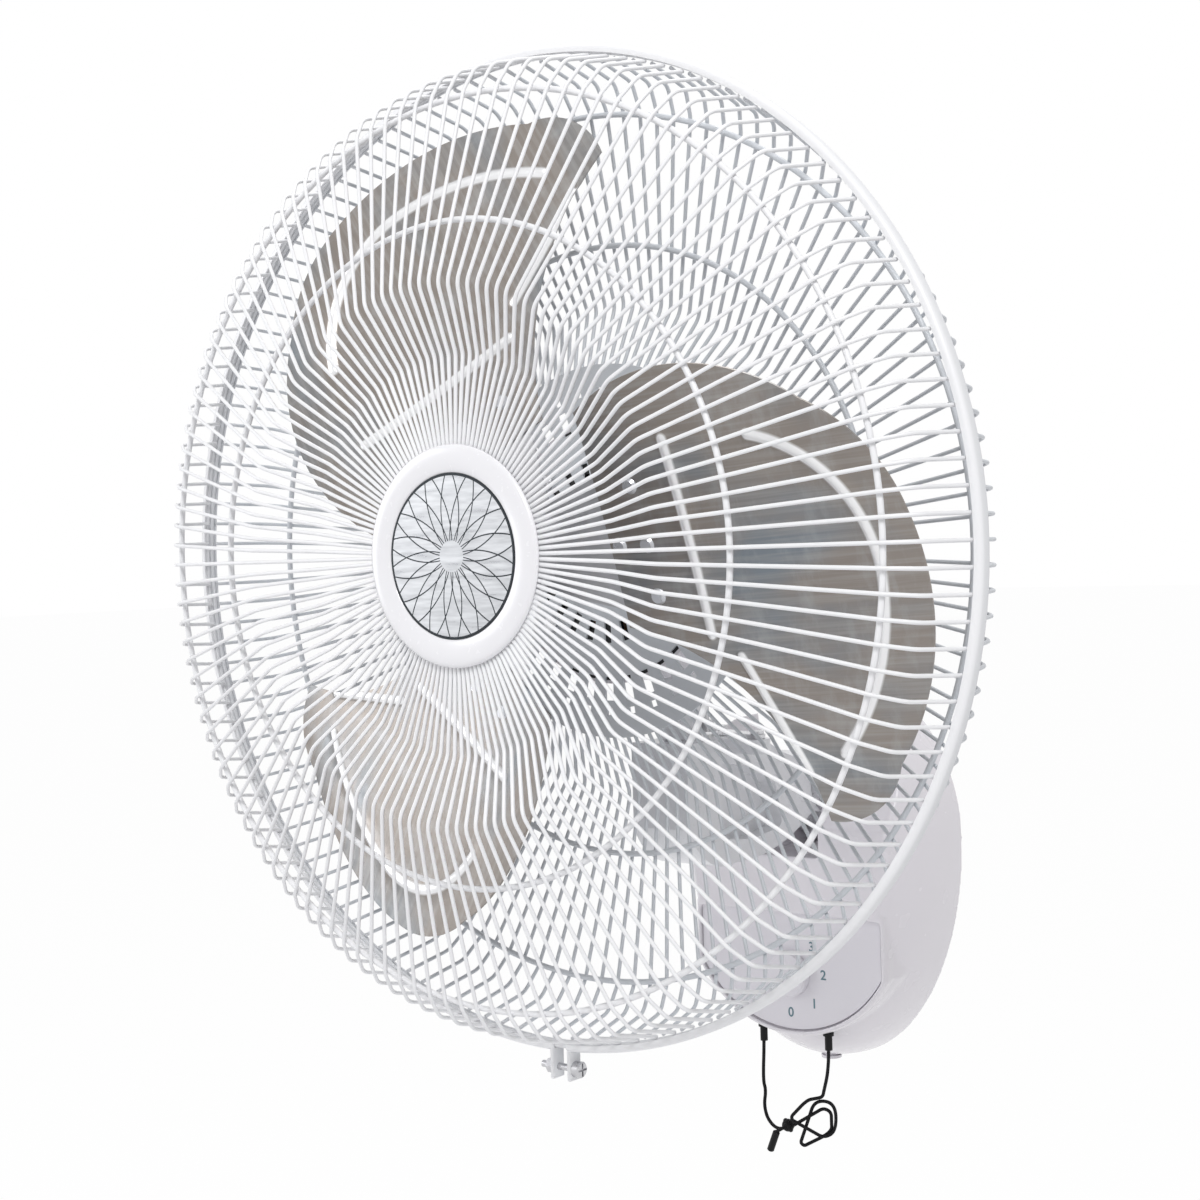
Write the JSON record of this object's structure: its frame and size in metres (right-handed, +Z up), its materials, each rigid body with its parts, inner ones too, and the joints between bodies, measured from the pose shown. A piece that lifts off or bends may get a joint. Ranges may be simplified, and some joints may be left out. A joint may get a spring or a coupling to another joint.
{
  "type": "wall mounted fan",
  "caption": "Wall mounted oscillating fan with a round wire guard, metal blades, a moulded base and pull cords.",
  "frame": {"origin": "centre of the wall bracket's four screw holes, on the wall's surface", "axes": "+Z up, +Y into the wall, so the fan blows towards -Y, and +X to the right of someone facing the fan"},
  "size_m": [0.56, 0.4007, 0.6852],
  "materials": {
    "guard_white": "gloss",
    "cap_white": "gloss",
    "badge_silver": "satin",
    "blade_metal": "satin",
    "hub_metal": "cast",
    "zinc": "bright zinc",
    "steel": "ground",
    "laminations": "stacked sheet",
    "copper": "enamelled wire",
    "bronze": "sintered",
    "motor_white": "painted casting",
    "housing_white": "gloss",
    "panel_white": "fine texture",
    "black_plastic": "satin",
    "black_rubber": "matte",
    "cord_black": "braided"
  },
  "bodies": {
    "base": {"wall_bracket": "zinc", "bracket_screws": "zinc", "arm_bracket": "zinc", "base_housing": "housing_white", "base_screws": "zinc", "control_panel": "panel_white", "speed_switch": "black_plastic", "swing_switch": "black_plastic", "capacitor": "black_plastic", "terminal_block": "black_plastic", "cord_nozzles": "black_plastic", "cord_grommet": "black_rubber", "tilt_bolt": "zinc", "tilt_nut": "zinc"},
    "dial": {"speed_dial": "panel_white"},
    "neck": {"neck": "motor_white", "swing_bush": "bronze", "thrust_washer": "steel", "link_pin": "zinc"},
    "link": {"swing_link": "zinc"},
    "head": {"yoke": "motor_white", "swing_pin": "steel", "swing_motor": "zinc", "motor_front_shield": "motor_white", "stator_core": "laminations", "stator_windings": "copper", "front_bearing": "bronze", "rear_bearing": "bronze", "motor_cover": "housing_white", "cover_screws": "zinc", "rear_guard_plate": "guard_white", "guard_screws": "zinc", "rear_guard_wires": "guard_white", "rear_guard_rings": "guard_white", "front_guard_wires": "guard_white", "front_guard_rings": "guard_white", "hub_plate": "guard_white", "hub_cap": "cap_white", "badge": "badge_silver", "guard_band": "guard_white", "band_bolt": "zinc", "band_nut": "zinc"},
    "crank": {"swing_crank": "steel"},
    "rotor": {"shaft": "steel", "rotor_core": "laminations", "blade_hub": "hub_metal", "blade_1": "blade_metal", "blade_2": "blade_metal", "blade_3": "blade_metal", "blade_rivets": "blade_metal", "hub_nut": "zinc"},
    "speed_pull": {"speed_cord": "cord_black", "cord_bundle": "cord_black", "cord_knot": "cord_black", "cord_end": "black_plastic"},
    "swing_pull": {"swing_cord": "cord_black"}
  },
  "joints": [
    {"name": "tilt", "type": "hinge", "parent": "base", "child": "neck", "pos_m": [0, -0.05, 0.072], "axis": [1, 0, 0], "range_deg": [-12, 20]},
    {"name": "swing", "type": "hinge", "parent": "neck", "child": "head", "pos_m": [0, -0.185, 0.112], "axis": [0, 0, 1], "range_deg": [-36, 36]},
    {"name": "spin", "type": "hinge", "parent": "head", "child": "rotor", "pos_m": [0, -0.32, 0.23], "axis": [0, 1, 0], "continuous": true},
    {"name": "crank_turn", "type": "hinge", "parent": "head", "child": "crank", "pos_m": [0, -0.159, 0.12], "axis": [0, 0, 1], "range_deg": [-130, 130]},
    {"name": "link_turn", "type": "hinge", "parent": "neck", "child": "link", "pos_m": [0.04, -0.16, 0.1135], "axis": [0, 0, 1], "range_deg": [-5, 32]},
    {"name": "dial_turn", "type": "hinge", "parent": "base", "child": "dial", "pos_m": [0, -0.07, -0.055], "axis": [0, -1, 0], "continuous": true},
    {"name": "speed_pull_slide", "type": "slide", "parent": "base", "child": "speed_pull", "axis": [0, 0, -1], "range_m": [0, 0.01], "stiffness_N_per_m": 300, "springref_m": -0.002},
    {"name": "swing_pull_slide", "type": "slide", "parent": "base", "child": "swing_pull", "axis": [0, 0, -1], "range_m": [0, 0.01], "stiffness_N_per_m": 300, "springref_m": -0.002}
  ],
  "couplings": [
    {"joint": "crank_turn", "follows": "swing", "ratio": -3.5},
    {"joint": "swing_pull_slide", "follows": "speed_pull_slide", "ratio": 1}
  ]
}
